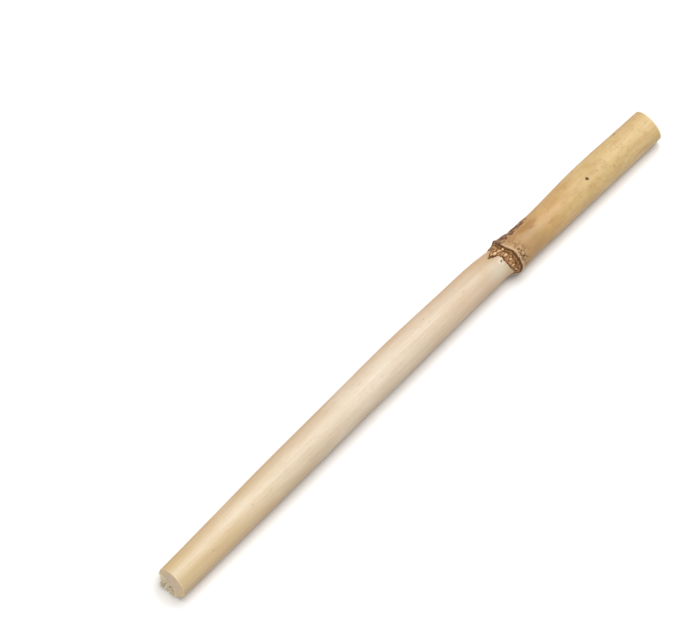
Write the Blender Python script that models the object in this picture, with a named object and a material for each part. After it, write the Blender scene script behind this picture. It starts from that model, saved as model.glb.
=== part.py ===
# A cut length of bamboo cane lying on its side, as one solid. Its tip end is at -X and its root end at +X.
# It has one node, with a sheath scar, a bud and a row of root beads. Both ends are sawn off, and the tip end
# is torn along its lower edge.

import bmesh
import bpy
import numpy as np

MM = 0.001

# Sizes are in millimetres and angles in degrees. Places along the cane count from its middle towards the
# root end, and angles count round it from +Y through the top.
LENGTH = 250.0
SIDES = 72

# Place along the cane, its diameter there, and where its centreline lies sideways and above the ground.
# The ends and the node lie low enough to be pressed a little flat, and the cane rests on those three places.
STEM = (
    (-125.0, 12.10, -0.05, 5.68),
    (-112.0, 12.40, 0.22, 5.76),
    (-72.0, 13.30, 0.95, 6.70),
    (-38.0, 13.45, 1.65, 6.90),
    (-7.0, 13.62, 2.22, 6.98),
    (18.0, 12.85, 2.35, 6.93),
    (37.0, 12.28, 2.30, 6.80),
    (44.0, 11.65, 1.90, 6.74),
    (49.0, 12.30, 1.30, 6.68),
    (56.0, 12.75, 1.05, 6.68),
    (64.0, 12.75, 1.00, 6.72),
    (90.0, 13.68, 1.33, 6.66),
    (118.0, 13.25, 1.00, 6.17),
    (125.0, 13.20, 0.87, 6.15),
)
OVALNESS = 0.006
OVAL_ANGLE = 40.0

# The node: a collar that flares from a waist on its tip side, with the sheath scar standing on its crest.
NODE = 48.4
COLLAR_HEIGHT = 1.00
COLLAR_TIP_WIDTH = 2.1
COLLAR_ROOT_WIDTH = 4.2
SCAR = 47.7
SCAR_HEIGHT = 0.38
SCAR_WIDTH = 0.50
SCAR_GROOVE_DEPTH = 0.24
SCAR_GROOVE_GAP = 1.0
SCAR_DIP = 1.0
SCAR_DIP_SPREAD = 24.0

# The band between the scar and its tip-side edge. It reaches furthest towards the tip as the bud's tongue.
BAND_EDGE = 43.9
BAND_HEIGHT = 0.20
BAND_SOFTNESS = 0.3
BAND_NARROWING = 1.8
BAND_NARROW_ANGLE = 192.0
BAND_NARROW_SPREAD = 35.0
BUD_ANGLE = 70.0
BUD_SPREAD = 20.0
BUD_REACH = 3.8
BUD_HEIGHT = 0.34

# Root beads stand in a ring along the band, and a few more on the bud's tongue.
BEAD_PLACE = 45.5
BEAD_STEP = 20.0
BEAD_FIRST_ANGLE = 85.0
BEAD_HEIGHT = 0.40
BEAD_HALF_LENGTH = 0.85
BEAD_HALF_ANGLE = 4.7
TONGUE_BEADS = ((42.3, 75.0), (43.7, 65.0), (44.6, 75.0))

# The groove that the bud leaves in the cane above it, and the dried crust on the root side of the scar.
GROOVE_DEPTH = 0.26
GROOVE_SPREAD = 15.0
GROOVE_END = -22.0
CRUST_HEIGHT = 0.16
CRUST_ANGLE = 24.0
CRUST_SPREAD = 16.0
CRUST_END = 64.0

# The sawn ends. Each slant tips the cut's face upwards or sideways.
RIM_ROUNDING = 0.28
TIP_SLANT_UP = 8.0
ROOT_SLANT_UP = 5.5
ROOT_SLANT_SIDE = -3.5
SLANT_FADE = 14.0
PITH_SHARE = 0.20
PITH_DEPTH = 0.7

# The torn lower edge of the tip end: splinters as angle, share of the radius and height, and a cavity.
SPLINTERS = (
    (290.0, 0.93, 0.7),
    (275.0, 0.97, 1.5),
    (265.0, 0.74, 0.9),
    (255.0, 0.94, 1.3),
    (240.0, 0.97, 1.6),
    (230.0, 0.78, 0.8),
    (220.0, 0.95, 0.7),
)
SPLINTER_HALF_ANGLE = 5.0
SPLINTER_HALF_SHARE = 0.10
SPLINTER_ROOT = 1.2
TEAR_ANGLE = 256.0
TEAR_SPREAD = 42.0
TEAR_DEPTH = 0.45
CAVITY_ANGLE = 250.0
CAVITY_SHARE = 0.36
CAVITY_SIZE = 0.2
CAVITY_DEPTH = 0.8

# Rings are closest at the node and the ends. Each cut face has its own rings, as shares of its radius.
FINE_STEP = 0.5
COARSE_STEP = 11.0
STEP_GROWTH = 0.33
FINE_FROM = 39.5
FINE_TO = 49.2
TIP_FACE_SHARES = (0.14, 0.3, 0.45, 0.6, 0.73, 0.84, 0.93, 0.975)
ROOT_FACE_SHARES = (0.975, 0.9, 0.7, 0.45, 0.28, 0.18, 0.08)


def bump(offset, half_width):
    return np.exp(-((offset / half_width) ** 2))


def away_from(angles, direction):
    return (angles - direction + 180.0) % 360.0 - 180.0


def rise(values, start, end):
    share = np.clip((values - start) / (end - start), 0.0, 1.0)
    return share * share * (3.0 - 2.0 * share)


# A smooth curve through one column of STEM, read at the given places.
def along_stem(places, column):
    table = np.array(STEM)
    stations = table[:, 0]
    values = table[:, column]
    slopes = np.gradient(values, stations)
    before = np.clip(np.searchsorted(stations, places) - 1, 0, len(stations) - 2)
    width = stations[before + 1] - stations[before]
    share = (places - stations[before]) / width
    lift = share * share * (3.0 - 2.0 * share)
    leaving = share * (1.0 - share) ** 2 * slopes[before]
    arriving = share**2 * (1.0 - share) * slopes[before + 1]
    return values[before] + lift * (values[before + 1] - values[before]) + width * (leaving - arriving)


def scar_place(angles):
    dip = SCAR_DIP * bump(away_from(angles, BUD_ANGLE), SCAR_DIP_SPREAD)
    waver = 0.12 * np.sin(np.radians(3.0 * angles + 50.0)) + 0.07 * np.sin(np.radians(7.0 * angles))
    return SCAR - dip + waver


def band_edge_place(angles):
    narrowing = BAND_NARROWING * bump(away_from(angles, BAND_NARROW_ANGLE), BAND_NARROW_SPREAD)
    tongue = np.clip(1.0 - np.abs(away_from(angles, BUD_ANGLE)) / BUD_SPREAD, 0.0, 1.0)
    return BAND_EDGE + narrowing - BUD_REACH * tongue**0.8


def bead_relief(places, angles):
    centres = [(BEAD_PLACE, BEAD_FIRST_ANGLE + BEAD_STEP * i) for i in range(int(360 / BEAD_STEP))]
    relief = np.zeros(len(places))
    for centre, direction in centres + list(TONGUE_BEADS):
        along = bump(places - centre, BEAD_HALF_LENGTH)
        relief = np.maximum(relief, along * bump(away_from(angles, direction), BEAD_HALF_ANGLE))
    return BEAD_HEIGHT * relief


# How far the node's forms stand out of the plain stem.
def node_relief(places, angles):
    root_side = places > NODE
    collar_width = np.where(root_side, COLLAR_ROOT_WIDTH, COLLAR_TIP_WIDTH)
    collar = COLLAR_HEIGHT * bump(places - NODE, collar_width)
    scar = scar_place(angles)
    lip = SCAR_HEIGHT * bump(places - scar, SCAR_WIDTH)
    lip -= SCAR_GROOVE_DEPTH * bump(places - scar + SCAR_GROOVE_GAP, SCAR_WIDTH)
    edge = band_edge_place(angles)
    inside = rise(places, edge - BAND_SOFTNESS, edge + BAND_SOFTNESS) * rise(scar - places, -0.5, 0.5)
    towards_bud = bump(away_from(angles, BUD_ANGLE), BUD_SPREAD)
    band = inside * (BAND_HEIGHT + BUD_HEIGHT * towards_bud)
    crust_span = rise(places, NODE, NODE + 1.5) * (1.0 - rise(places, CRUST_END - 6.0, CRUST_END))
    crust_form = 0.6 + 0.4 * np.sin(1.7 * places + np.radians(4.0 * angles))
    crust = CRUST_HEIGHT * crust_span * crust_form * bump(away_from(angles, CRUST_ANGLE), CRUST_SPREAD)
    return collar + lip + band + crust + bead_relief(places, angles)


def bud_groove(places, angles):
    fade = rise(places, GROOVE_END, BAND_EDGE - BUD_REACH)
    fade *= 1.0 - rise(places, BAND_EDGE - BUD_REACH, BAND_EDGE)
    return GROOVE_DEPTH * fade * bump(away_from(angles, BUD_ANGLE), GROOVE_SPREAD)


def radius(places, angles):
    oval = 1.0 + OVALNESS * np.cos(np.radians(2.0 * (angles - OVAL_ANGLE)))
    plain = along_stem(places, 1) / 2.0 * oval
    return plain + node_relief(places, angles) - bud_groove(places, angles)


# How far the torn tip face stands out of its cut, towards the tip.
def tear(shares, angles):
    torn = bump(away_from(angles, TEAR_ANGLE), TEAR_SPREAD) * rise(shares, 0.35, 0.75)
    height = -TEAR_DEPTH * torn
    for direction, share, reach in SPLINTERS:
        spot = bump(away_from(angles, direction), SPLINTER_HALF_ANGLE) * bump(shares - share, SPLINTER_HALF_SHARE)
        height = height + (reach + TEAR_DEPTH) * spot
    across = shares * np.cos(np.radians(away_from(angles, CAVITY_ANGLE))) - CAVITY_SHARE
    aside = shares * np.sin(np.radians(away_from(angles, CAVITY_ANGLE)))
    return height - CAVITY_DEPTH * bump(np.hypot(across, aside), CAVITY_SIZE)


# Places of the body's rings: the step between them grows with the distance from the node and the ends.
def ring_places():
    first = -LENGTH / 2.0 + RIM_ROUNDING
    last = LENGTH / 2.0 - RIM_ROUNDING
    fine = np.linspace(first, last, 20001)
    from_node = np.maximum(np.maximum(FINE_FROM - fine, fine - FINE_TO), 0.0)
    from_end = np.minimum(fine - first, last - fine)
    step = np.minimum(FINE_STEP + STEP_GROWTH * np.minimum(from_node, from_end), COARSE_STEP)
    passed = np.concatenate([[0.0], np.cumsum(np.diff(fine) / step[:-1])])
    count = int(round(passed[-1]))
    return np.interp(np.linspace(0.0, passed[-1], count + 1), passed, fine)


# Every ring from the tip face's centre to the root face's, as place along the cane and share of the radius.
def rings():
    rows = [(-LENGTH / 2.0, share) for share in TIP_FACE_SHARES]
    rows += [(place, 1.0) for place in ring_places()]
    rows += [(LENGTH / 2.0, share) for share in ROOT_FACE_SHARES]
    return np.array(rows)


# A straight tube with closed ends, one unit between rings. Its angles and ring numbers are read back later.
def plain_tube(ring_count):
    bm = bmesh.new()
    bmesh.ops.create_circle(bm, cap_ends=True, cap_tris=True, segments=SIDES, radius=1.0)
    rim = [edge for edge in bm.edges if edge.is_boundary]
    for _ in range(ring_count - 1):
        grown = bmesh.ops.extrude_edge_only(bm, edges=rim)["geom"]
        corners = [part for part in grown if isinstance(part, bmesh.types.BMVert)]
        bmesh.ops.translate(bm, vec=(0.0, 0.0, 1.0), verts=corners)
        rim = [part for part in grown if isinstance(part, bmesh.types.BMEdge) and part.is_boundary]
    cap = bmesh.ops.contextual_create(bm, geom=rim)["faces"]
    bmesh.ops.poke(bm, faces=cap)
    bmesh.ops.triangulate(bm, faces=bm.faces[:])
    bmesh.ops.recalc_face_normals(bm, faces=bm.faces[:])
    mesh = bpy.data.meshes.new("cane")
    bm.to_mesh(mesh)
    bm.free()
    return mesh


# Turns points of the plain tube into points of the cane, in millimetres.
def cane_points(tube_points, ring_rows):
    ring = np.round(tube_points[:, 2]).astype(int)
    angles = np.degrees(np.arctan2(tube_points[:, 1], tube_points[:, 0])) % 360.0
    on_axis = np.hypot(tube_points[:, 0], tube_points[:, 1]) < 0.5
    places = ring_rows[ring, 0]
    shares = np.where(on_axis, 0.0, ring_rows[ring, 1])
    reach = radius(places, angles) * shares
    aside = reach * np.cos(np.radians(angles))
    above = reach * np.sin(np.radians(angles))
    from_tip = places + LENGTH / 2.0
    to_root = LENGTH / 2.0 - places
    tip_slant = above * np.tan(np.radians(TIP_SLANT_UP)) * (1.0 - rise(from_tip, 0.0, SLANT_FADE))
    root_slant = -above * np.tan(np.radians(ROOT_SLANT_UP)) - aside * np.tan(np.radians(ROOT_SLANT_SIDE))
    root_slant = root_slant * (1.0 - rise(to_root, 0.0, SLANT_FADE))
    torn = tear(shares, angles) * (1.0 - rise(from_tip, 0.0, SPLINTER_ROOT))
    pith = PITH_DEPTH * bump(shares, PITH_SHARE) * (to_root == 0.0)
    along = places + tip_slant + root_slant - torn - pith
    sideways = along_stem(places, 2) + aside
    height = np.maximum(along_stem(places, 3) + above, 0.0)
    return np.column_stack([along, sideways, height])


def cane_material():
    material = bpy.data.materials.new("bamboo skin")
    material.use_nodes = True
    shader = material.node_tree.nodes["Principled BSDF"]
    shader.inputs["Base Color"].default_value = (0.76, 0.60, 0.38, 1.0)
    shader.inputs["Roughness"].default_value = 0.42
    shader.inputs["Metallic"].default_value = 0.0
    return material


def make_cane():
    ring_rows = rings()
    mesh = plain_tube(len(ring_rows))
    flat = np.empty(len(mesh.vertices) * 3)
    mesh.vertices.foreach_get("co", flat)
    points = cane_points(flat.reshape(-1, 3), ring_rows)
    lowest = points.min(axis=0)
    highest = points.max(axis=0)
    ground_centre = np.array([(lowest[0] + highest[0]) / 2.0, (lowest[1] + highest[1]) / 2.0, lowest[2]])
    mesh.vertices.foreach_set("co", ((points - ground_centre) * MM).ravel())
    mesh.update()
    mesh.shade_smooth()
    mesh.set_sharp_from_angle(angle=np.radians(40.0))
    mesh.materials.append(cane_material())
    cane = bpy.data.objects.new("cane", mesh)
    bpy.context.scene.collection.objects.link(cane)
    return cane


for old in list(bpy.data.objects):
    bpy.data.objects.remove(old, do_unlink=True)
make_cane()
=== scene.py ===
# A cut length of bamboo cane, lying on a pale studio floor
import math

import bmesh
import bpy
import numpy as np
from mathutils import Matrix, Vector


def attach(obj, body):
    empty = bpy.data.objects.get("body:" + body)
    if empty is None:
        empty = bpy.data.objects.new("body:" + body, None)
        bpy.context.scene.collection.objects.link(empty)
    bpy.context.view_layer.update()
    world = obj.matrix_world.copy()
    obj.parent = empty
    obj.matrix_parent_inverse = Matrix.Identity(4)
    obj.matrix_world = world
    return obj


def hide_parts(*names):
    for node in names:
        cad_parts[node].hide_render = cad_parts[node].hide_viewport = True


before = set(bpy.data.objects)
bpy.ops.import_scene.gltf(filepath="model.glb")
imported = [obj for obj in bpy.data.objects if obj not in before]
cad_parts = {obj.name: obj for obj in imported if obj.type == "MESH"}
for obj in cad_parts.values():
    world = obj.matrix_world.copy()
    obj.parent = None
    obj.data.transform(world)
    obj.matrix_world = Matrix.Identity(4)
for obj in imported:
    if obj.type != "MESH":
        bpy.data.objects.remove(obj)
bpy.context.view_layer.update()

mm = 0.001

# Sizes are in millimetres and angles in degrees. Places run along the cane from its middle to the root end,
# and angles go round it from +Y through the top.
cane = {
    "length": 250.0,
    "sides": 288,
    # place along the cane, diameter, sideways, height of the centreline
    "stem": (
        (-125.0, 12.10, -0.05, 5.68),
        (-112.0, 12.40, 0.22, 5.76),
        (-72.0, 13.30, 0.95, 6.70),
        (-38.0, 13.45, 1.65, 6.90),
        (-7.0, 13.62, 2.22, 6.98),
        (18.0, 12.85, 2.35, 6.93),
        (37.0, 12.28, 2.30, 6.80),
        (44.0, 11.65, 1.90, 6.74),
        (49.0, 12.30, 1.30, 6.68),
        (56.0, 12.75, 1.05, 6.68),
        (64.0, 12.75, 1.00, 6.72),
        (90.0, 13.68, 1.33, 6.66),
        (118.0, 13.25, 1.00, 6.17),
        (125.0, 13.20, 0.87, 6.15),
    ),
    "groundShift": (0.8368, -1.4615, 0.0),  # from the stem's own places to where the cane lies
    "ovalness": 0.006,
    "ovalAngle": 40.0,
    "grooveDepth": 0.26,  # the groove that the bud leaves in the cane
    "grooveSpread": 15.0,
    "grooveEnd": -22.0,
    "fluteDepth": 0.045,  # faint flutes along the skin, and shallow dents
    "dentDepth": 0.05,
    "sharpAngle": 50.0,  # edges sharper than this aren't shaded smooth
}

nodeForm = {
    "place": 48.4,
    "collarHeight": 1.00,
    "collarTipWidth": 2.1,
    "collarRootWidth": 4.2,
    "scar": 47.7,
    "scarHeight": 0.38,
    "scarWidth": 0.50,
    "scarGrooveDepth": 0.24,
    "scarGrooveGap": 1.0,
    "scarDip": 1.0,
    "scarDipSpread": 24.0,
    "scarFray": 0.35,  # share of the lip's height that is frayed away in places
    "scarSoftness": 0.5,
    # how the scar wavers round the cane: height, waves to a turn, phase
    "scarWaves": ((0.12, 3.0, 50.0), (0.07, 7.0, 0.0)),
    "bandEdge": 43.9,
    "bandRadius": 6.2,
    "bandHeight": 0.20,
    "bandSoftness": 0.3,
    "bandNarrowing": 1.8,
    "bandNarrowAngle": 192.0,
    "bandNarrowSpread": 35.0,
    "bandWrinkle": 0.05,
    "budAngle": 70.0,
    "budSpread": 20.0,
    "budReach": 3.4,
    "budHeight": 0.34,
    "budBluntness": 0.8,
    "beadPlace": 45.5,
    "beadStep": 20.0,
    "beadFirstAngle": 85.0,
    "beadHeight": 0.40,
    "beadHalfLength": 0.85,
    "beadHalfAngle": 4.7,
    "beadMoat": 0.07,
    "beadMoatAt": (0.16, 0.12),  # where on a bead's form the moat runs, and its half width there
    "beadHeightBySize": (0.45, 0.55),
    "beadSeed": 31,
    # least and greatest stray of a bead along the cane and round it, and its size
    "beadStray": ((-0.3, -3.0, 0.65), (0.3, 3.0, 1.05)),
    "smallBeadStray": ((-0.2, -4.0, 0.7), (0.2, 4.0, 1.3)),
    "smallBeadPlace": 46.55,  # a second row of root buds, small, close under the scar
    "smallBeadSize": 0.50,
    # place, angle and size of the beads on the tongue over the bud
    "tongueBeads": (
        (41.9, 70.0, 0.80),
        (43.0, 76.0, 1.10),
        (44.1, 66.0, 0.70),
        (44.7, 78.0, 1.00),
        (45.0, 57.0, 0.80),
    ),
    "crustHeight": 0.30,
    "crustAngle": 34.0,
    "crustSpread": 18.0,
    "crustWidening": 13.0,  # how much wider the crust is close to the scar, and how far that reaches
    "crustWideReach": 5.0,
    "crustStart": 45.5,
    "crustFadeIn": 3.0,
    "crustEnd": 65.0,
    "crustFadeOut": 6.0,
    # the crust's uneven form: mean, swing, and how fast the wave runs along the cane and round it
    "crustWaves": (0.72, 0.20, 1.7, 4.0),
    "crustRaggedness": 0.35,
    "crustFlakes": 0.16,
    "crustFlakeSteps": 1.5,
}

sawnEnds = {
    "rimRounding": 0.28,
    "tipSlantUp": 8.0,
    "rootSlantUp": 5.5,
    "rootSlantSide": -3.5,
    "slantFade": 14.0,
    "pithShare": 0.20,
    "pithDepth": 0.7,
    "sawMarkDepth": 0.03,
    "sawMarkWaves": (7.0, 2.0),
    "sawnShare": 0.99,  # a sawn face lies inside this share of the radius
    "rimChip": 0.24,  # how far the rims are chipped back at most
    "chipShare": 0.9,  # they are chipped outside this share of the radius
    "chipLength": 0.5,
    "chipThreshold": 0.2,
    # angle, share of the radius and height of the stumps that the torn fibres stand on
    "splinters": (
        (330.0, 0.90, 0.5),
        (312.0, 0.95, 0.8),
        (296.0, 0.92, 0.8),
        (282.0, 0.97, 0.9),
        (268.0, 0.74, 0.6),
        (256.0, 0.95, 0.7),
        (242.0, 0.92, 0.5),
    ),
    "splinterHalfAngle": 6.5,
    "splinterHalfShare": 0.13,
    "splinterRoot": 1.2,
    "tearAngle": 296.0,
    "tearSpread": 54.0,
    "tearDepth": 0.40,
    "tearRoughness": 0.32,
    "tearPatches": 30.0,  # patches of its noise between the middle and the rim
    "tornShares": (0.12, 0.45),  # shares of the radius where the torn part starts and where it is whole
    "tornRaggedness": 0.12,
    "tornPatches": 20.0,
    "cavityAngle": 276.0,
    "cavityShare": 0.42,
    "cavitySize": 0.14,
    "cavityDepth": 0.45,
    "cavityRaggedness": 0.55,
    "cavityPatches": 8.0,
}

# Torn fibre bundles at the tip end, drawn thicker than real ones, which would be too fine to show
fibres = {
    "count": 240,
    "seed": 21,
    "length": (0.4, 1.7),
    "lengthBias": 1.6,  # above 1, more of the strands are short
    "width": (0.08, 0.20),  # from the strand's middle to its edge
    "flatness": 0.45,
    "sides": 6,
    "lean": 0.22,
    "meanLean": 0.05,
    "bend": 0.35,
    "firstBend": 0.4,  # share of the bend in the first step, and its growth from step to step
    "bendGrowth": 1.5,
    "foot": (0.5, 0.9),  # share of the length that the foot takes, and how it narrows
    "steps": ((0.35, 0.65), (0.30, 0.5), (0.10, 0.25)),  # the same for each step from there
    "spread": 0.52,  # share of the tear's spread
    "shares": (0.98, 0.80, 1.4),  # outermost share of the radius, reach inwards, bias outwards
    "furthest": -126.45,  # no strand reaches past the solid, or down to the floor
    "lowest": 0.15,
    "margin": 0.1,
}

# Rings are closest at the node and the ends
rings = {
    "fineStep": 0.22,
    "coarseStep": 1.7,
    "stepGrowth": 0.085,
    "fineFrom": 38.8,
    "fineTo": 52.5,
    "samples": 20001,
    # rings on a sawn face: turn of the first in radians, how many, share of the radius at the rim
    "tipFace": (0.06, 24, 0.985),
    "rootFace": (0.12, 13, 0.98),
}

# Random patterns on the unrolled skin: length of a patch along the cane, patches round it, seed
patterns = {
    "fray": (60.0, 110, 3),
    "wrinkles": (0.9, 90, 5),
    "flakes": (0.7, 64, 8),
    "crust": (1.6, 44, 9),
    "flutes": (42.0, 40, 11),
    "dents": (9.0, 7, 12),
    "torn": (1.0, 30, 15),
    "cavity": (1.0, 22, 16),
    "tear": (1.0, 60, 17),
    "chips": (200.0, 80, 18),
}
patternReach = 150.0  # how far they reach each way from the cane's middle


def bump(offset, halfWidth):
    return np.exp(-((offset / halfWidth) ** 2))


def awayFrom(angles, direction):
    return (angles - direction + 180.0) % 360.0 - 180.0


def rise(values, start, end):
    share = np.clip((values - start) / (end - start), 0.0, 1.0)
    return share * share * (3.0 - 2.0 * share)


# A smooth curve through one column of the stem's table
def alongStem(places, column):
    table = np.array(cane["stem"])
    stations = table[:, 0]
    values = table[:, column]
    slopes = np.gradient(values, stations)
    before = np.clip(np.searchsorted(stations, places) - 1, 0, len(stations) - 2)
    width = stations[before + 1] - stations[before]
    share = (places - stations[before]) / width
    lift = share * share * (3.0 - 2.0 * share)
    leaving = share * (1.0 - share) ** 2 * slopes[before]
    arriving = share**2 * (1.0 - share) * slopes[before + 1]
    return values[before] + lift * (values[before + 1] - values[before]) + width * (leaving - arriving)


# Smooth random heights from -1 to 1 over the unrolled skin, the same at each run
def unrolledNoise(places, angles, pattern):
    patchLength, countRound, seed = patterns[pattern]
    countAlong = int(2.0 * patternReach / patchLength) + 3
    table = np.random.default_rng(seed).uniform(-1.0, 1.0, (countAlong, countRound))
    along = (places + patternReach) / patchLength
    around = angles / 360.0 * countRound
    row = np.clip(np.floor(along).astype(int), 0, countAlong - 2)
    column = np.floor(around).astype(int) % countRound
    nextColumn = (column + 1) % countRound
    alongShare = rise(along - row, 0.0, 1.0)
    aroundShare = rise(around - np.floor(around), 0.0, 1.0)
    near = table[row, column] * (1.0 - aroundShare) + table[row, nextColumn] * aroundShare
    far = table[row + 1, column] * (1.0 - aroundShare) + table[row + 1, nextColumn] * aroundShare
    return near * (1.0 - alongShare) + far * alongShare


def scarPlace(angles):
    dip = nodeForm["scarDip"] * bump(awayFrom(angles, nodeForm["budAngle"]), nodeForm["scarDipSpread"])
    waver = 0.0
    for height, waves, phase in nodeForm["scarWaves"]:
        waver = waver + height * np.sin(np.radians(waves * angles + phase))
    return nodeForm["scar"] - dip + waver


def bandEdgePlace(angles):
    narrowing = bump(awayFrom(angles, nodeForm["bandNarrowAngle"]), nodeForm["bandNarrowSpread"])
    tongue = np.clip(1.0 - np.abs(awayFrom(angles, nodeForm["budAngle"])) / nodeForm["budSpread"], 0.0, 1.0)
    reach = nodeForm["budReach"] * tongue ** nodeForm["budBluntness"]
    return nodeForm["bandEdge"] + nodeForm["bandNarrowing"] * narrowing - reach


# Place, angle and size of every root bead: a ring of them, a small one between each two, and the bud's own
def beadTable():
    draw = np.random.default_rng(nodeForm["beadSeed"])
    rows = list(nodeForm["tongueBeads"])
    for i in range(int(360.0 / nodeForm["beadStep"])):
        direction = nodeForm["beadFirstAngle"] + nodeForm["beadStep"] * i
        shift, turn, size = draw.uniform(*nodeForm["beadStray"])
        rows.append((nodeForm["beadPlace"] + shift, direction + turn, size))
        shift, turn, size = draw.uniform(*nodeForm["smallBeadStray"])
        between = direction + nodeForm["beadStep"] / 2.0 + turn
        rows.append((nodeForm["smallBeadPlace"] + shift, between, nodeForm["smallBeadSize"] * size))
    return rows


# 1 on the top of a large root bead, falling to 0 round it, and less on a small one
def beadShape(places, angles):
    shape = np.zeros(len(places))
    least, growth = nodeForm["beadHeightBySize"]
    for centre, direction, size in beadTable():
        along = bump(places - centre, nodeForm["beadHalfLength"] * size)
        around = bump(awayFrom(angles, direction), nodeForm["beadHalfAngle"] * size)
        shape = np.maximum(shape, along * around * min(least + growth * size, 1.0))
    return shape


def crustShape(places, angles):
    start, end = nodeForm["crustStart"], nodeForm["crustEnd"]
    span = rise(places, start, start + nodeForm["crustFadeIn"])
    span = span * (1.0 - rise(places, end - nodeForm["crustFadeOut"], end))
    mean, swing, alongRate, aroundRate = nodeForm["crustWaves"]
    form = mean + swing * np.sin(alongRate * places + np.radians(aroundRate * angles))
    form = form + nodeForm["crustRaggedness"] * unrolledNoise(places, angles, "crust")
    nearScar = bump(places - nodeForm["place"], nodeForm["crustWideReach"])
    spread = nodeForm["crustSpread"] + nodeForm["crustWidening"] * nearScar
    return np.clip(span * form * bump(awayFrom(angles, nodeForm["crustAngle"]), spread), 0.0, 1.0)


# How far the node's forms stand out of the plain stem
def nodeRelief(places, angles):
    rootSide = places > nodeForm["place"]
    collarWidth = np.where(rootSide, nodeForm["collarRootWidth"], nodeForm["collarTipWidth"])
    collar = nodeForm["collarHeight"] * bump(places - nodeForm["place"], collarWidth)
    scar = scarPlace(angles)
    fray = 1.0 - nodeForm["scarFray"] * np.clip(unrolledNoise(places, angles, "fray"), 0.0, 1.0)
    lip = nodeForm["scarHeight"] * fray * bump(places - scar, nodeForm["scarWidth"])
    groove = bump(places - scar + nodeForm["scarGrooveGap"], nodeForm["scarWidth"])
    lip = lip - nodeForm["scarGrooveDepth"] * groove
    edge = bandEdgePlace(angles)
    softness = nodeForm["bandSoftness"]
    inside = rise(places, edge - softness, edge + softness)
    inside = inside * rise(scar - places, -nodeForm["scarSoftness"], nodeForm["scarSoftness"])
    towardsBud = bump(awayFrom(angles, nodeForm["budAngle"]), nodeForm["budSpread"])
    wrinkles = nodeForm["bandWrinkle"] * unrolledNoise(places, angles, "wrinkles")
    band = inside * (nodeForm["bandHeight"] + nodeForm["budHeight"] * towardsBud + wrinkles)
    bead = beadShape(places, angles)
    moatForm, moatWidth = nodeForm["beadMoatAt"]
    moat = nodeForm["beadMoat"] * bump(bead - moatForm, moatWidth) * inside
    crust = crustShape(places, angles)
    steps = np.round(nodeForm["crustFlakeSteps"] * unrolledNoise(places, angles, "flakes"))
    flakes = nodeForm["crustFlakes"] * crust * steps
    crust = nodeForm["crustHeight"] * crust + flakes
    return collar + lip + band + nodeForm["beadHeight"] * bead - moat + crust


def radius(places, angles):
    oval = 1.0 + cane["ovalness"] * np.cos(np.radians(2.0 * (angles - cane["ovalAngle"])))
    plain = alongStem(places, 1) / 2.0 * oval
    tongueStart = nodeForm["bandEdge"] - nodeForm["budReach"]
    fade = rise(places, cane["grooveEnd"], tongueStart)
    fade = fade * (1.0 - rise(places, tongueStart, nodeForm["bandEdge"]))
    groove = cane["grooveDepth"] * fade * bump(awayFrom(angles, nodeForm["budAngle"]), cane["grooveSpread"])
    flutes = unrolledNoise(places, angles, "flutes") - 1.0
    dents = unrolledNoise(places, angles, "dents") - 1.0
    skin = cane["fluteDepth"] / 2.0 * flutes + cane["dentDepth"] / 2.0 * dents
    return plain + nodeRelief(places, angles) - groove + skin


# 1 where the tip end is torn, 0 where it is sawn clean
def tornShare(shares, angles):
    noise = unrolledNoise(shares * sawnEnds["tornPatches"], angles, "torn")
    ragged = shares + sawnEnds["tornRaggedness"] * noise
    towardsTear = bump(awayFrom(angles, sawnEnds["tearAngle"]), sawnEnds["tearSpread"])
    return towardsTear * rise(ragged, *sawnEnds["tornShares"])


def cavityShape(shares, angles):
    turned = np.radians(awayFrom(angles, sawnEnds["cavityAngle"]))
    across = shares * np.cos(turned) - sawnEnds["cavityShare"]
    aside = shares * np.sin(turned)
    noise = unrolledNoise(shares * sawnEnds["cavityPatches"], angles, "cavity")
    ragged = 1.0 + sawnEnds["cavityRaggedness"] * noise
    return bump(np.hypot(across, aside) * ragged, sawnEnds["cavitySize"])


# How far the torn tip face stands out of its cut, towards the tip
def tear(shares, angles):
    noise = unrolledNoise(shares * sawnEnds["tearPatches"], angles, "tear")
    roughness = sawnEnds["tearRoughness"] * noise
    height = (roughness - sawnEnds["tearDepth"]) * tornShare(shares, angles)
    for direction, share, reach in sawnEnds["splinters"]:
        spot = bump(awayFrom(angles, direction), sawnEnds["splinterHalfAngle"])
        height = height + reach * spot * bump(shares - share, sawnEnds["splinterHalfShare"])
    return height - sawnEnds["cavityDepth"] * cavityShape(shares, angles)


def ringPlaces():
    first = -cane["length"] / 2.0 + sawnEnds["rimRounding"]
    last = cane["length"] / 2.0 - sawnEnds["rimRounding"]
    fine = np.linspace(first, last, rings["samples"])
    fromNode = np.maximum(np.maximum(rings["fineFrom"] - fine, fine - rings["fineTo"]), 0.0)
    fromEnd = np.minimum(fine - first, last - fine)
    step = rings["fineStep"] + rings["stepGrowth"] * np.minimum(fromNode, fromEnd)
    step = np.minimum(step, rings["coarseStep"])
    passed = np.concatenate([[0.0], np.cumsum(np.diff(fine) / step[:-1])])
    count = int(round(passed[-1]))
    return np.interp(np.linspace(0.0, passed[-1], count + 1), passed, fine)


# Shares of the radius of the rings on a sawn face, from its middle out, closest at the rim
def faceShares(face):
    firstTurn, count, outermost = rings[face]
    return np.sin(np.linspace(firstTurn, 0.5 * math.pi, count + 1)[:-1]) * outermost


# Every ring from the middle of the tip face to the middle of the root face: place, share of the radius
def ringTable():
    rows = [(-cane["length"] / 2.0, share) for share in faceShares("tipFace")]
    rows += [(place, 1.0) for place in ringPlaces()]
    rows += [(cane["length"] / 2.0, share) for share in faceShares("rootFace")[::-1]]
    return np.array(rows)


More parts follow.
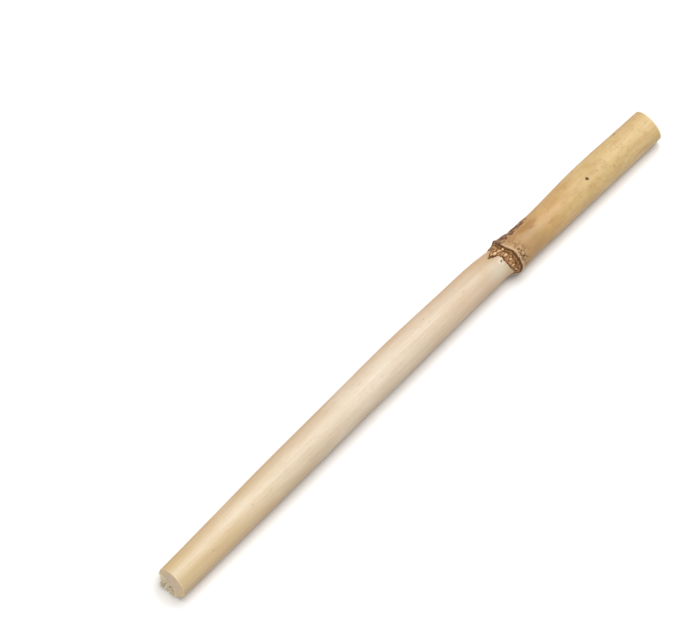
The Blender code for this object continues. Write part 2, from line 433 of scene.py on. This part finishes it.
# A straight tube with closed ends, one unit between rings
def plainTube(sides, ringCount):
    bm = bmesh.new()
    bmesh.ops.create_circle(bm, cap_ends=True, cap_tris=True, segments=sides, radius=1.0)
    rim = [edge for edge in bm.edges if edge.is_boundary]
    for _ in range(ringCount - 1):
        grown = bmesh.ops.extrude_edge_only(bm, edges=rim)["geom"]
        corners = [part for part in grown if isinstance(part, bmesh.types.BMVert)]
        bmesh.ops.translate(bm, vec=(0.0, 0.0, 1.0), verts=corners)
        rim = [part for part in grown if isinstance(part, bmesh.types.BMEdge) and part.is_boundary]
    cap = bmesh.ops.contextual_create(bm, geom=rim)["faces"]
    bmesh.ops.poke(bm, faces=cap)
    bmesh.ops.recalc_face_normals(bm, faces=bm.faces[:])
    mesh = bpy.data.meshes.new("caneSkin")
    bm.to_mesh(mesh)
    bm.free()
    return mesh


# Where a point of the cane lies, in millimetres, from its place, angle and share of the radius
def canePoints(places, angles, shares):
    reach = radius(places, angles) * shares
    aside = reach * np.cos(np.radians(angles))
    above = reach * np.sin(np.radians(angles))
    fromTip = places + cane["length"] / 2.0
    toRoot = cane["length"] / 2.0 - places
    tipSlant = above * math.tan(math.radians(sawnEnds["tipSlantUp"]))
    tipSlant = tipSlant * (1.0 - rise(fromTip, 0.0, sawnEnds["slantFade"]))
    rootSlant = -above * math.tan(math.radians(sawnEnds["rootSlantUp"]))
    rootSlant = rootSlant - aside * math.tan(math.radians(sawnEnds["rootSlantSide"]))
    rootSlant = rootSlant * (1.0 - rise(toRoot, 0.0, sawnEnds["slantFade"]))
    torn = tear(shares, angles) * (1.0 - rise(fromTip, 0.0, sawnEnds["splinterRoot"]))
    asideRate, aboveRate = sawnEnds["sawMarkWaves"]
    sawn = sawnEnds["sawMarkDepth"] * (1.0 + np.sin(aside * asideRate + above * aboveRate))
    sawn = sawn * (shares < sawnEnds["sawnShare"])
    pith = sawnEnds["pithDepth"] * bump(shares, sawnEnds["pithShare"])
    chips = unrolledNoise(places, angles, "chips") - sawnEnds["chipThreshold"]
    chip = sawnEnds["rimChip"] * np.clip(chips, 0.0, 1.0)
    chip = chip * (shares > sawnEnds["chipShare"])
    inward = (pith + sawn) * (toRoot == 0.0) - sawn * (fromTip == 0.0)
    chipLength = sawnEnds["chipLength"]
    inward = inward + chip * (bump(toRoot, chipLength) - bump(fromTip, chipLength))
    along = places + tipSlant + rootSlant - torn - inward
    sideways = alongStem(places, 2) + aside
    height = np.maximum(alongStem(places, 3) + above, 0.0)
    return np.column_stack([along, sideways, height]) + np.array(cane["groundShift"])


# The distance to the band's edge, measured across the edge
def fromBandEdge(places, angles):
    halfStep = 0.5
    arc = math.radians(2.0 * halfStep) * nodeForm["bandRadius"]
    slope = (bandEdgePlace(angles + halfStep) - bandEdgePlace(angles - halfStep)) / arc
    return (places - bandEdgePlace(angles)) / np.sqrt(1.0 + slope**2)


def makeCane():
    ringRows = ringTable()
    mesh = plainTube(cane["sides"], len(ringRows))
    flat = np.empty(len(mesh.vertices) * 3)
    mesh.vertices.foreach_get("co", flat)
    tube = flat.reshape(-1, 3)
    ring = np.round(tube[:, 2]).astype(int)
    angles = np.degrees(np.arctan2(tube[:, 1], tube[:, 0])) % 360.0
    onAxis = np.hypot(tube[:, 0], tube[:, 1]) < 0.5
    places = ringRows[ring, 0]
    shares = np.where(onAxis, 0.0, ringRows[ring, 1])
    points = canePoints(places, angles, shares)
    mesh.vertices.foreach_set("co", (points * mm).ravel())
    onTip = places == -cane["length"] / 2.0
    wider, widestAt, widerSpread = endLook["rimWidening"]
    paleRim = 1.0 - rise(cane["length"] / 2.0 - np.abs(places), *skinLook["rimReach"])
    marks = {
        "fromScar": places - scarPlace(angles),
        "fromBand": fromBandEdge(places, angles),
        "bead": beadShape(places, angles),
        "crust": crustShape(places, angles),
        "rim": paleRim * np.where(places < 0.0, skinLook["tipRim"], 1.0),
        "share": shares + wider * bump(awayFrom(angles, widestAt), widerSpread) * onTip,
        "torn": tornShare(shares, angles) * onTip,
        "cavity": cavityShape(shares, angles) * onTip,
    }
    for name, (place, reach, direction, spread) in skinLook["areas"].items():
        marks[name] = bump(places - place, reach) * bump(awayFrom(angles, direction), spread)
    for name, values in marks.items():
        mesh.attributes.new(name, "FLOAT", "POINT").data.foreach_set("value", values)
    mesh.update()
    mesh.shade_smooth()
    mesh.set_sharp_from_angle(angle=math.radians(cane["sharpAngle"]))
    mesh.materials.append(makeSkin())
    mesh.materials.append(makeEndGrain())
    # a face belongs to a sawn end when all its corners lie inside the rim
    sawnCorner = (np.abs(places) == cane["length"] / 2.0).tolist()
    inSawnEnd = [all(sawnCorner[corner] for corner in polygon.vertices) for polygon in mesh.polygons]
    mesh.polygons.foreach_set("material_index", np.array(inSawnEnd, dtype=np.int32))
    mesh.update()
    piece = bpy.data.objects.new("caneSkin", mesh)
    bpy.context.scene.collection.objects.link(piece)
    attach(piece, "root")
    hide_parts("cane")
    print("cane:", len(mesh.vertices), "points,", len(mesh.polygons), "faces")


# One torn fibre bundle: a flat tapering strand that bends a little, with its foot inside the cane
def addStrand(bm, foot, towards, turn, length, width, bend):
    footShare, footNarrowing = fibres["foot"]
    stance = towards.to_track_quat("Z", "Y").to_matrix().to_4x4() @ Matrix.Rotation(turn, 4, "Z")
    made = bmesh.ops.create_cone(
        bm,
        cap_ends=True,
        segments=fibres["sides"],
        radius1=width,
        radius2=width * footNarrowing,
        depth=length * footShare,
        matrix=Matrix.Translation(foot) @ stance @ Matrix.Diagonal((1.0, fibres["flatness"], 1.0, 1.0)),
    )["verts"]
    faces = {face for corner in made for face in corner.link_faces}
    end = max(faces, key=lambda face: face.calc_center_median().dot(towards))
    for stepLength, narrowing in fibres["steps"]:
        end = bmesh.ops.extrude_discrete_faces(bm, faces=[end])["faces"][0]
        middle = end.calc_center_median()
        bmesh.ops.scale(bm, vec=(narrowing,) * 3, space=Matrix.Translation(-middle), verts=end.verts)
        bmesh.ops.translate(bm, vec=(towards + bend) * length * stepLength, verts=end.verts)
        bend = bend * fibres["bendGrowth"]


def makeTornFibres():
    draw = np.random.default_rng(fibres["seed"])
    bm = bmesh.new()
    tip = np.array([-cane["length"] / 2.0])
    outermost, inwards, bias = fibres["shares"]
    shortest, longest = fibres["length"]
    for _ in range(fibres["count"]):
        angle = draw.normal(sawnEnds["tearAngle"], sawnEnds["tearSpread"] * fibres["spread"])
        share = outermost - inwards * draw.uniform() ** bias
        foot = Vector(canePoints(tip, np.array([angle]), np.array([share]))[0])
        out = Vector((0.0, math.cos(math.radians(angle)), math.sin(math.radians(angle))))
        aside = Vector((0.0, -out.z, out.y))
        lean = out * draw.normal(fibres["meanLean"], fibres["lean"])
        lean = lean + aside * draw.normal(0.0, fibres["lean"])
        bend = out * draw.normal(0.0, fibres["bend"]) + aside * draw.normal(0.0, fibres["bend"])
        width = draw.uniform(*fibres["width"])
        turn = draw.uniform(0.0, math.pi)
        length = shortest + (longest - shortest) * draw.uniform() ** fibres["lengthBias"] * share
        towards = Vector((-1.0, 0.0, 0.0)) + lean
        if foot.z < length + fibres["lowest"]:  # close to the floor a strand doesn't lean or bend down
            towards.z = max(towards.z, 0.0)
            bend.z = max(bend.z, 0.0)
        towards.normalize()
        length = min(length, foot.x - fibres["furthest"] - fibres["margin"])
        if foot.z > width + fibres["lowest"] and length > 0.0:
            addStrand(bm, foot, towards, turn, length, width, bend * fibres["firstBend"])
    bmesh.ops.scale(bm, vec=(mm, mm, mm), verts=bm.verts)
    bmesh.ops.recalc_face_normals(bm, faces=bm.faces[:])
    mesh = bpy.data.meshes.new("tornFibres")
    bm.to_mesh(mesh)
    bm.free()
    mesh.shade_smooth()
    mesh.materials.append(makeFibre())
    piece = bpy.data.objects.new("tornFibres", mesh)
    bpy.context.scene.collection.objects.link(piece)
    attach(piece, "root")
    print("torn fibres:", fibres["count"])


# sRGB hex to the linear colour that a shader takes
def colour(hexText):
    parts = [int(hexText[i : i + 2], 16) / 255.0 for i in (0, 2, 4)]
    return [part / 12.92 if part <= 0.04045 else ((part + 0.055) / 1.055) ** 2.4 for part in parts] + [1.0]


# Adds a node, gives it its settings, and sets or links its sockets. `stops` fills a colour ramp.
def addNode(tree, kind, sockets, stops=None, **settings):
    node = tree.nodes.new(kind)
    for name, value in settings.items():
        setattr(node, name, value)
    for socket, value in sockets.items():
        if isinstance(value, bpy.types.NodeSocket):
            tree.links.new(value, node.inputs[socket])
        else:
            node.inputs[socket].default_value = value
    for place, hexText in stops or ():
        held = {0.0: 0, 1.0: -1}  # a new ramp already has a stop at each end
        ramp = node.color_ramp.elements
        stop = ramp[held[place]] if place in held else ramp.new(place)
        stop.color = colour(hexText)
    return node


def addMath(tree, operation, *values):
    return addNode(tree, "ShaderNodeMath", dict(enumerate(values)), operation=operation).outputs[0]


# A mask that goes from `lowest` to `highest` while the value goes from `low` to `high`
def addRange(tree, value, low, high, lowest=0.0, highest=1.0):
    sockets = {0: value, 1: low, 2: high, 3: lowest, 4: highest}
    return addNode(tree, "ShaderNodeMapRange", sockets).outputs[0]


def addAttribute(tree, name):
    return addNode(tree, "ShaderNodeAttribute", {}, attribute_name=name).outputs["Fac"]


def addLayer(tree, share, shade, hexText):
    sockets = {0: share, 6: shade, 7: colour(hexText)}
    return addNode(tree, "ShaderNodeMix", sockets, data_type="RGBA").outputs[2]


def addBump(tree, height, strength, distance, **under):
    sockets = {"Height": height, "Strength": strength, "Distance": distance, **under}
    return addNode(tree, "ShaderNodeBump", sockets).outputs[0]


# The place on the piece, in millimetres
def addPlace(tree):
    sockets = {0: addNode(tree, "ShaderNodeTexCoord", {}).outputs["Object"], "Scale": 1.0 / mm}
    return addNode(tree, "ShaderNodeVectorMath", sockets, operation="SCALE").outputs[0]


def addStretch(tree, place, factors):
    return addNode(tree, "ShaderNodeVectorMath", {0: place, 1: factors}, operation="MULTIPLY").outputs[0]


skinLook = {
    # colours along the cane, from the tip end: straw, ivory, grey cream, beige at the node, honey, straw
    "zones": (
        (-124, "D3BE93"),
        (-98, "D6C29C"),
        (-60, "D7C5AC"),
        (5, "D9C9B4"),
        (30, "D2C5B2"),
        (46, "C2A680"),
        (51, "A68357"),
        (59, "9F7A47"),
        (68, "C19B61"),
        (88, "CAAD78"),
        (101, "CFB47E"),
        (125, "D6BE8C"),
    ),
    "roughness": 0.46,
    "roughRoughness": 0.90,
    "gloss": 0.35,
    "grainBump": (0.5, 0.00004),  # strength, and height in metres
    "corkBump": (0.8, 0.00030),
    "noiseDetail": 3.0,
    "noiseRoughness": 0.55,
    "noiseStep": 7.3,  # how far apart in the noise two kinds of patch lie
    "lineEdge": (1.4, 0.6),  # where a line starts and is full, as multiples of its half width
    "spotEdge": 0.4,  # where a spot is full, as a share of its radius
    "rimReach": (0.25, 0.8),  # how far the pale rims are full, and where they end
    "tipRim": 0.6,
    # noise patches: size round the cane, length as a multiple of it, low and high edge
    "patches": {
        "cloud": (14.0, 2.2, 0.42, 0.66),
        "bloom": (5.0, 2.6, 0.47, 0.68),
        "blush": (3.4, 2.0, 0.46, 0.66),
        "streak": (1.3, 40.0, 0.50, 0.75),
        "grain": (0.34, 36.0, 0.42, 0.75),
        "fleck": (0.30, 5.0, 0.66, 0.73),
        "speckle": (0.55, 1.8, 0.50, 0.68),
        "mottle": (1.7, 2.6, 0.48, 0.62),
        "rust": (0.9, 2.2, 0.58, 0.66),
        "dash": (0.46, 1.5, 0.495, 0.530),
        "paleDash": (0.36, 1.5, 0.52, 0.60),
        "scratch": (0.20, 40.0, 0.60, 0.66),
        "ragged": (0.50, 1.5, 0.0, 1.0),
        "frayed": (0.20, 2.0, 0.0, 1.0),
        "solid": (0.60, 1.6, 0.36, 0.46),
        "barkPale": (0.34, 2.6, 0.50, 0.60),
        "barkDark": (0.24, 3.0, 0.52, 0.60),
        "flakes": (0.32, 3.2, 0.50, 0.60),
    },
    # soft areas: place and reach along the cane, angle and spread round it
    "areas": {
        # painted shade: a warm, darker tint down the +Y side all along the cane, like light bounced off a
        # neighbour
        "paintedWarmShade": (0.0, 1000.0, 15.0, 38.0),
        # painted shade: the -Y underside darker and olive all along the cane
        "paintedDullShade": (0.0, 1000.0, 210.0, 50.0),
        "paleSkin": (40.0, 5.5, 128.0, 36.0),
        # painted highlight: a pale band along the top of the tip's half, where the soft box's highlight
        # falls
        "paintedHighlightRidge": (-112.0, 50.0, 96.0, 20.0),
        "dashes": (50.4, 2.3, 132.0, 40.0),
        "mottled": (58.5, 10.5, 88.0, 72.0),
        "tipSide": (-45.0, 72.0, 90.0, 200.0),
        "rootSide": (98.0, 42.0, 90.0, 200.0),
        "scratched": (116.0, 5.0, 150.0, 16.0),
        "greenRim": (124.5, 4.0, 162.0, 22.0),
    },
    # distances and forms of the node: what is measured, and where the mask rises from 0 to 1
    "masks": {
        "pastEdge": ("fromBand", -0.15, 0.20),
        "beforeScar": ("fromScar", 0.10, -0.30),
        "beadFoot": ("bead", 0.04, 0.20),
        "beadSide": ("bead", 0.50, 0.28),
        "beadTop": ("bead", 0.34, 0.70),
        "crusted": ("crust", 0.20, 0.28),
        "rimEdge": ("rim", 0.35, 0.95),
    },
    # lines that follow the scar and the band's edge: shift and half width
    "lines": {
        "scar": ("fromScar", 0.0, 0.46),
        "innerScar": ("fromScar", 1.15, 0.24),
        "paleBand": ("fromScar", -0.95, 0.40),
        "edge": ("fromBand", 0.05, 0.28),
    },
    # how much a full swing of the noise moves the scar, the band's edge, the crust and the rims
    "wobbles": {"fromScar": 1.3, "fromBand": 1.3, "crust": 0.6, "rim": 0.8},
    # each layer lays its colour over the last one: masks, colour, strength
    "layers": (
        # painted shade, warm and darker, on the +Y side
        (("paintedWarmShade",), "BC8644", 0.70),
        # painted shade, darker and olive, on the -Y underside
        (("paintedDullShade",), "987541", 0.72),
        (("cloud",), "D0A67A", 0.36),
        (("tipSide", "bloom"), "E8DCCB", 0.45),
        (("rootSide", "bloom"), "E0C992", 0.45),
        # painted highlight along the top of the cane
        (("paintedHighlightRidge",), "E4D8C4", 0.32),
        (("streak",), "B9976A", 0.20),
        (("grain",), "B08D5E", 0.22),
        (("tipSide", "speckle"), "C4AA84", 0.24),
        (("rootSide", "speckle"), "A98850", 0.44),
        (("rootSide", "mottle"), "B58E54", 0.40),
        (("fleck",), "8F6C3A", 0.42),
        (("paleSkin",), "D3CFBE", 0.60),
        (("mottled", "blush"), "B07C50", 0.50),
        (("mottled", "mottle"), "9C6E3A", 0.62),
        (("mottled", "rust"), "8A5222", 0.58),
        (("scratched", "scratch"), "8C6A38", 0.55),
        (("greenRim",), "BFAE5A", 0.32),
        (("dashes", "paleDash"), "DCC3A0", 0.40),
        (("dashes", "dash"), "5C3A18", 0.95),
        (("paleBand",), "D0B28C", 0.45),
    ),
    "nodeLayers": (
        (("band",), "A07346", 0.96),
        (("band", "barkPale"), "C2966A", 0.80),
        (("band", "barkDark"), "623D1C", 0.85),
        (("beadFoot", "beadSide"), "633C1B", 0.80),
        (("beadTop",), "D6AE84", 0.86),
        (("beadTop", "barkPale"), "F0D8B4", 0.78),
        (("edge",), "7A4C20", 0.72),
        (("edge", "solid"), "5A3410", 0.86),
        (("innerScar", "solid"), "643C18", 0.86),
        (("scar",), "6A421C", 0.82),
        (("scar", "solid"), "523012", 0.92),
        (("crusted",), "664534", 0.90),
        (("crusted", "flakes"), "BC9272", 0.82),
        (("rimEdge",), "E8DCC0", 0.70),
    ),
    "spotWobble": 0.7,  # the same for the edge of each spot
    "pitStrength": 0.7,  # a spot stronger than this is a pit, dull like the cork of the node
    # single spots on the skin, pale rings first: place, angle, radius, colour, strength
    "spots": (
        (42.6, 110.0, 1.6, "E6DFCC", 0.50),
        (88.8, 102.4, 1.4, "DCC08A", 0.50),
        (34.7, 98.0, 2.0, "C8A078", 0.34),
        (34.7, 98.0, 0.7, "D8C4A8", 0.30),
        (42.6, 110.0, 0.68, "744A20", 0.80),
        (1.4, 78.0, 0.40, "9A7648", 0.50),
        (5.8, 75.5, 0.40, "9A7648", 0.45),
        (-107.8, 127.0, 0.60, "9A8058", 0.35),
        (88.8, 102.4, 0.95, "4E2C08", 0.97),
        (94.0, 105.8, 0.40, "8A6530", 0.45),
        (96.4, 105.6, 0.44, "8A6530", 0.50),
        (100.6, 130.0, 0.55, "8A6D38", 0.45),
        (106.7, 129.0, 0.44, "8A6D38", 0.35),
        (110.8, 44.0, 0.80, "5A3A18", 0.50),
    ),
}


def makeSkin():
    # Bamboo culm, dried and scraped clean: a hard satin skin over fine fibres that run along the cane
    material = bpy.data.materials.new("satin bamboo skin")
    material.use_nodes = True
    tree = material.node_tree
    shader = tree.nodes["Principled BSDF"]
    onSkin = addPlace(tree)
    along = addNode(tree, "ShaderNodeSeparateXYZ", {0: onSkin}).outputs[0]

    # one noise for each kind of patch, drawn out along the fibres
    mask = {}
    for seed, (name, (size, stretch, low, high)) in enumerate(skinLook["patches"].items()):
        sockets = {
            "Vector": addStretch(tree, onSkin, (1.0 / stretch, 1.0, 1.0)),
            "W": skinLook["noiseStep"] * (seed + 1),
            "Scale": 0.5 / size,
            "Detail": skinLook["noiseDetail"],
            "Roughness": skinLook["noiseRoughness"],
        }
        noise = addNode(tree, "ShaderNodeTexNoise", sockets, noise_dimensions="4D").outputs[0]
        mask[name] = addRange(tree, noise, low, high)
    for name in skinLook["areas"]:
        mask[name] = addAttribute(tree, name)

    # the scar, the band's edge, the crust and the rims stray, so that their outlines are ragged
    mark = {}
    for name in ("fromScar", "fromBand", "bead", "crust", "rim"):
        mark[name] = addAttribute(tree, name)
    sway = addMath(tree, "SUBTRACT", addMath(tree, "ADD", mask["ragged"], mask["frayed"]), 1.0)
    for name, wobble in skinLook["wobbles"].items():
        mark[name] = addMath(tree, "MULTIPLY_ADD", sway, wobble, mark[name])
    for name, (source, low, high) in skinLook["masks"].items():
        mask[name] = addRange(tree, mark[source], low, high)
    lineStart, lineFull = skinLook["lineEdge"]
    for name, (source, shift, width) in skinLook["lines"].items():
        away = addMath(tree, "ABSOLUTE", addMath(tree, "ADD", mark[source], shift))
        mask[name] = addRange(tree, away, width * lineStart, width * lineFull)
    mask["band"] = addMath(tree, "MULTIPLY", mask["pastEdge"], mask["beforeScar"])

    first, last = skinLook["zones"][0][0], skinLook["zones"][-1][0]
    zone = addRange(tree, along, first, last)
    zoneStops = [((stop - first) / (last - first), hexText) for stop, hexText in skinLook["zones"]]
    shade = addNode(tree, "ShaderNodeValToRGB", {0: zone}, stops=zoneStops).outputs[0]

    spots = []
    pits = []
    for number, (place, angle, size, hexText, strength) in enumerate(skinLook["spots"]):
        centre = tuple(canePoints(np.array([place]), np.array([angle]), np.array([1.0]))[0])
        away = addNode(tree, "ShaderNodeVectorMath", {0: onSkin, 1: centre}, operation="DISTANCE").outputs[1]
        away = addMath(tree, "MULTIPLY_ADD", sway, skinLook["spotWobble"], away)
        mask[number] = addRange(tree, away, size, size * skinLook["spotEdge"])
        spots.append(((number,), hexText, strength))
        if strength > skinLook["pitStrength"]:
            pits.append(number)
    for names, hexText, strength in skinLook["layers"] + tuple(spots) + skinLook["nodeLayers"]:
        share = strength
        for name in names:
            share = addMath(tree, "MULTIPLY", mask[name], share)
        shade = addLayer(tree, share, shade, hexText)
    tree.links.new(shade, shader.inputs["Base Color"])

    # the cork of the band, the crust, the lines and the pits is rougher than the skin
    rough = mask["band"]
    for name in ["crusted", "dashes", "scar", "edge"] + pits:
        rough = addMath(tree, "MAXIMUM", rough, mask[name])
    roughness = addRange(tree, rough, 0.0, 1.0, skinLook["roughness"], skinLook["roughRoughness"])
    tree.links.new(roughness, shader.inputs["Roughness"])
    shader.inputs["Specular IOR Level"].default_value = skinLook["gloss"]
    fibre = addBump(tree, mask["grain"], *skinLook["grainBump"])
    cork = addMath(tree, "MULTIPLY", sway, rough)
    bumped = addBump(tree, cork, *skinLook["corkBump"], Normal=fibre)
    tree.links.new(bumped, shader.inputs["Normal"])
    return material


endLook = {
    "wood": "D0BAA0",
    # the cut's straw rim is widest at one side of the tip end: how much, its angle and spread
    "rimWidening": (0.22, 192.0, 34.0),
    "stretch": (0.05, 1.0, 1.0),
    "bundleSpacing": 0.42,
    "bundleRandomness": 0.7,
    "fibreNoise": {"Scale": 3.2, "Detail": 4.0, "Roughness": 0.65},
    "fibreBump": (0.6, 0.0002),  # strength, and height in metres
    "roughness": 0.82,
    # masks: what is measured, where the mask starts and where it is full, and its values there
    "masks": {
        "cloudy": ("fibre", 0.35, 0.70, 0.0, 0.50),
        "rim": ("share", 0.72, 0.86, 0.0, 0.80),
        "outerSkin": ("share", 0.94, 0.98, 0.0, 0.90),
        "outward": ("share", 0.10, 0.95, 0.25, 1.0),
        "bundles": ("cells", 0.36, 0.18, 0.0, 0.50),
        "torn": ("torn", 0.15, 0.45, 0.0, 0.90),
        # painted shade: dark brown cracks in the torn part, standing for the shade in its crevices
        "paintedFissureShade": ("fibre", 0.48, 0.38, 0.0, 0.75),
        # painted shade in the torn hollow: olive, darkest where it is deepest
        "paintedHollowShade": ("cavity", 0.18, 0.50, 0.0, 0.90),
        "paintedDeepHollowShade": ("cavity", 0.60, 0.95, 0.0, 0.80),
    },
    # masks that show only where another one does
    "within": (("bundles", "outward"), ("paintedFissureShade", "torn")),
    # each layer lays its colour over the last one
    "layers": (
        ("cloudy", "BCA58C"),
        ("rim", "D2BA94"),
        ("outerSkin", "CFB88C"),
        ("bundles", "A88C6C"),
        ("torn", "EEE2C6"),
        # painted shade in the cracks of the torn part
        ("paintedFissureShade", "84693A"),
        # painted shade, darkening into the torn hollow
        ("paintedHollowShade", "B39F6C"),
        ("paintedDeepHollowShade", "7A6236"),
    ),
}


def makeEndGrain():
    # Sawn end grain: matt pale wood, with the ends of its fibre bundles as small brown dots
    material = bpy.data.materials.new("sawn bamboo end grain")
    material.use_nodes = True
    tree = material.node_tree
    shader = tree.nodes["Principled BSDF"]
    onFace = addStretch(tree, addPlace(tree), endLook["stretch"])
    mark = {}
    for name in ("share", "torn", "cavity"):
        mark[name] = addAttribute(tree, name)
    sockets = {
        "Vector": onFace,
        "Scale": 1.0 / endLook["bundleSpacing"],
        "Randomness": endLook["bundleRandomness"],
    }
    mark["cells"] = addNode(tree, "ShaderNodeTexVoronoi", sockets).outputs[0]
    sockets = {"Vector": onFace, **endLook["fibreNoise"]}
    mark["fibre"] = addNode(tree, "ShaderNodeTexNoise", sockets).outputs[0]
    mask = {}
    for name, (source, *edges) in endLook["masks"].items():
        mask[name] = addRange(tree, mark[source], *edges)
    for name, other in endLook["within"]:
        mask[name] = addMath(tree, "MULTIPLY", mask[name], mask[other])
    shade = colour(endLook["wood"])
    for name, hexText in endLook["layers"]:
        shade = addLayer(tree, mask[name], shade, hexText)
    tree.links.new(shade, shader.inputs["Base Color"])
    shader.inputs["Roughness"].default_value = endLook["roughness"]
    bumped = addBump(tree, mark["fibre"], *endLook["fibreBump"])
    tree.links.new(bumped, shader.inputs["Normal"])
    return material


fibreLook = {
    # colours of the strands, over the range of the noise
    "tones": ((0.0, "9A8450"), (0.40, "CDB988"), (0.50, "EDE1C6"), (0.60, "F8F2E4"), (1.0, "FBF7EC")),
    "stretch": (0.15, 1.5, 1.5),
    "noise": {"Scale": 1.0, "Detail": 1.0},
    "roughness": 0.8,
    "gloss": 0.3,
}


def makeFibre():
    # Torn bamboo fibre: dry, matt and pale, with straw and brown strands side by side
    material = bpy.data.materials.new("torn bamboo fibre")
    material.use_nodes = True
    tree = material.node_tree
    shader = tree.nodes["Principled BSDF"]
    sockets = {"Vector": addStretch(tree, addPlace(tree), fibreLook["stretch"]), **fibreLook["noise"]}
    tone = addNode(tree, "ShaderNodeTexNoise", sockets).outputs[0]
    shade = addNode(tree, "ShaderNodeValToRGB", {0: tone}, stops=fibreLook["tones"]).outputs[0]
    tree.links.new(shade, shader.inputs["Base Color"])
    shader.inputs["Roughness"].default_value = fibreLook["roughness"]
    shader.inputs["Specular IOR Level"].default_value = fibreLook["gloss"]
    return material


studio = {
    "floorSize": 3.0,
    "floorColour": "F4F3F1",
    "skyStrength": 0.34,
    # power in watts, side, distance from the cane, and direction it comes from
    "lamps": {
        "softBox": (17.0, 1.0, 1.3, (0.24, 0.02, 0.97)),
        "fillBox": (4.5, 0.9, 1.4, (-0.86, -0.20, 0.40)),
    },
}


def makeStudio():
    bm = bmesh.new()
    bmesh.ops.create_grid(bm, x_segments=4, y_segments=4, size=studio["floorSize"] / 2.0)
    mesh = bpy.data.meshes.new("floor")
    bm.to_mesh(mesh)
    bm.free()
    floor = bpy.data.objects.new("floor", mesh)
    bpy.context.scene.collection.objects.link(floor)
    # Matt white board: it takes a soft shadow and gives no gloss
    board = bpy.data.materials.new("matt white board")
    board.use_nodes = True
    shader = board.node_tree.nodes["Principled BSDF"]
    shader.inputs["Base Color"].default_value = colour(studio["floorColour"])
    shader.inputs["Roughness"].default_value = 0.9
    shader.inputs["Specular IOR Level"].default_value = 0.1
    mesh.materials.append(board)

    for name, (power, side, distance, towards) in studio["lamps"].items():
        direction = Vector(towards).normalized()
        lamp = bpy.data.lights.new(name, "AREA")
        lamp.shape = "SQUARE"
        lamp.size = side
        lamp.energy = power
        lampObject = bpy.data.objects.new(name, lamp)
        lampObject.location = direction * distance
        lampObject.rotation_euler = direction.to_track_quat("Z", "Y").to_euler()
        bpy.context.scene.collection.objects.link(lampObject)

    world = bpy.data.worlds.new("studio")
    world.use_nodes = True
    sky = world.node_tree.nodes["Background"]
    sky.inputs["Color"].default_value = (1.0, 1.0, 1.0, 1.0)
    sky.inputs["Strength"].default_value = studio["skyStrength"]
    bpy.context.scene.world = world
    bpy.context.scene.view_settings.view_transform = "Standard"
    print("studio: floor, soft box and sky")


# The photograph's view, found from the cane's own outline in it
view = {
    "azimuth": -47.1,
    "elevation": 62.3,
    "roll": 0.554,
    "distance": 1.1,
    "aimHeight": 0.0065,
    "slideRight": -0.026825,
    "slideUp": 0.012315,
    "lens": 164.41,
}


def makeCamera():
    azimuth = math.radians(view["azimuth"])
    elevation = math.radians(view["elevation"])
    back = Vector(
        (
            math.sin(azimuth) * math.cos(elevation),
            -math.cos(azimuth) * math.cos(elevation),
            math.sin(elevation),
        )
    )
    right = Vector((math.cos(azimuth), math.sin(azimuth), 0.0))
    up = back.cross(right)
    eye = Vector((0.0, 0.0, view["aimHeight"])) + back * view["distance"]
    eye += right * view["slideRight"] + up * view["slideUp"]
    facing = Matrix((right, up, back)).transposed() @ Matrix.Rotation(math.radians(view["roll"]), 3, "Z")
    lensData = bpy.data.cameras.new("camera")
    lensData.lens = view["lens"]
    lensData.sensor_width = 36.0
    camera = bpy.data.objects.new("camera", lensData)
    camera.matrix_world = Matrix.Translation(eye) @ facing.to_4x4()
    bpy.context.scene.collection.objects.link(camera)
    bpy.context.scene.camera = camera
    print("camera placed")


makeCamera()
makeStudio()
makeCane()
makeTornFibres()
